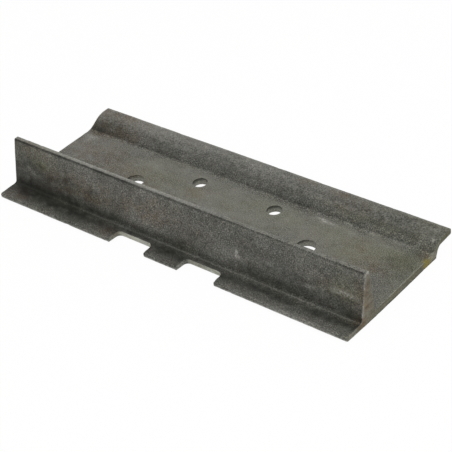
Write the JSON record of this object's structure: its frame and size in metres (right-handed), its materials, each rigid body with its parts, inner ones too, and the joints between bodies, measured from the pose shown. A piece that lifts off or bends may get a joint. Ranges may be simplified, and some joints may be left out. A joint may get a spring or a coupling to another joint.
{
  "type": "excavator track shoe",
  "caption": "Long rolled steel track plate with one tall tapered grouser, a notched leading lip, a raised overlap lip and bolt holes for the chain.",
  "frame": {"origin": "middle of the shoe's outline, on the flat link face", "axes": "+X along the shoe, across the machine's track; +Y from the notched leading lip to the overlap lip; +Z from the link face up to the grouser's crest"},
  "size_m": [0.45, 0.174, 0.0568],
  "materials": {
    "rolled_steel": "hot-rolled, dark mill scale with fine speckle and light rust"
  },
  "bodies": {
    "root": {"track_shoe": "rolled_steel"}
  },
  "joints": []
}
